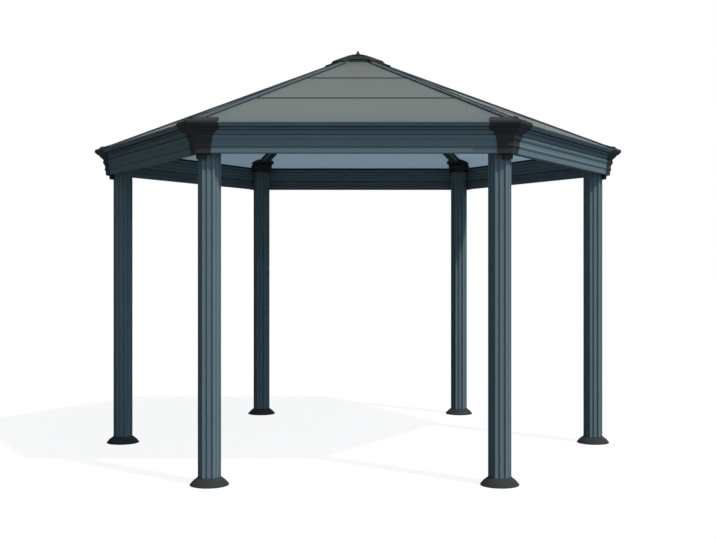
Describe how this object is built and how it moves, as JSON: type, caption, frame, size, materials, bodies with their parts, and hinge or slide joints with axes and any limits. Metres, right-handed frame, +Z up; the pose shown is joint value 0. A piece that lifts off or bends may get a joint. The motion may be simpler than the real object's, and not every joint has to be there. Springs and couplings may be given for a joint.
{
  "type": "hexagonal garden gazebo",
  "caption": "Open hexagonal garden gazebo with fluted posts, a stepped cornice fascia with corner covers, and a low hipped sheet roof under a tiered cap.",
  "frame": {"origin": "on the ground at the centre of the hexagonal plan", "axes": "+Z up; +X to the right when looking at the front, through two opposite corners; the front side faces -Y; corner 1 is at the front left and corners run anticlockwise seen from above; side 1 is the front"},
  "size_m": [4.438, 3.8434, 3.2971],
  "materials": {
    "frame_paint": "dark slate grey powder coat on aluminium, satin",
    "cover_plastic": "dark charcoal moulded plastic, satin",
    "roof_sheet": "smoke grey translucent polycarbonate sheet"
  },
  "bodies": {
    "root": {"post_1": "frame_paint", "post_2": "frame_paint", "post_3": "frame_paint", "post_4": "frame_paint", "post_5": "frame_paint", "post_6": "frame_paint", "corner_cover_1": "cover_plastic", "corner_cover_2": "cover_plastic", "corner_cover_3": "cover_plastic", "corner_cover_4": "cover_plastic", "corner_cover_5": "cover_plastic", "corner_cover_6": "cover_plastic", "fascia_1": "frame_paint", "fascia_2": "frame_paint", "fascia_3": "frame_paint", "fascia_4": "frame_paint", "fascia_5": "frame_paint", "fascia_6": "frame_paint", "hip_rafter_1": "frame_paint", "hip_rafter_2": "frame_paint", "hip_rafter_3": "frame_paint", "hip_rafter_4": "frame_paint", "hip_rafter_5": "frame_paint", "hip_rafter_6": "frame_paint", "roof_panels_1": "roof_sheet", "roof_panels_2": "roof_sheet", "roof_panels_3": "roof_sheet", "roof_panels_4": "roof_sheet", "roof_panels_5": "roof_sheet", "roof_panels_6": "roof_sheet", "base_plates": "frame_paint", "foot_covers": "cover_plastic", "post_capitals": "cover_plastic", "eave_seals": "cover_plastic", "hip_cappings": "frame_paint", "seam_bars": "cover_plastic", "apex_hub": "frame_paint", "apex_cap": "cover_plastic"}
  },
  "joints": []
}
